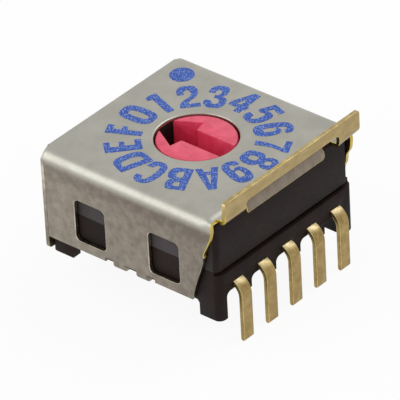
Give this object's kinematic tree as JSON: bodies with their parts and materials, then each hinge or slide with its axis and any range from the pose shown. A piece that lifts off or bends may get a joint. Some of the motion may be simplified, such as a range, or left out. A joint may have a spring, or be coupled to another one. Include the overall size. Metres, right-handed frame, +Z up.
{
  "type": "rotary dip switch",
  "caption": "Small square coded rotary switch with a folded metal cover, an arrow-slotted red rotor and a row of bent through-hole terminals along one side.",
  "frame": {"origin": "the rotor's axis, in the plane of the feet's soles, which stand on the board", "axes": "+Z up out of the rotor's face, -Y towards the row of terminals, +Y where the arrow points at rest, +X to its right"},
  "size_m": [0.0074, 0.0079, 0.0057],
  "materials": {
    "cover_sheet": "nickel-plated brass sheet, satin grey",
    "moulding": "moulded, matt black",
    "rotor_plastic": "moulded, semi-gloss red",
    "contact_brass": "stamped, gold-flashed",
    "terminal_strip": "stamped strip, dull gold",
    "seal_rubber": "matt black",
    "spring_steel": "bright spring steel"
  },
  "bodies": {
    "housing": {"cover": "cover_sheet", "upper_case": "moulding", "base": "moulding", "terminal_1": "terminal_strip", "terminal_2": "terminal_strip", "terminal_c": "terminal_strip", "terminal_4": "terminal_strip", "terminal_8": "terminal_strip", "seal_ring": "seal_rubber", "detent_spring": "spring_steel"},
    "rotor": {"rotor": "rotor_plastic", "code_disc": "contact_brass"}
  },
  "joints": [
    {"name": "rotor_turn", "type": "hinge", "parent": "housing", "child": "rotor", "pos_m": [0, 0, 0.0021], "axis": [0, 0, 1], "continuous": true, "deforming": ["detent_spring"]}
  ]
}
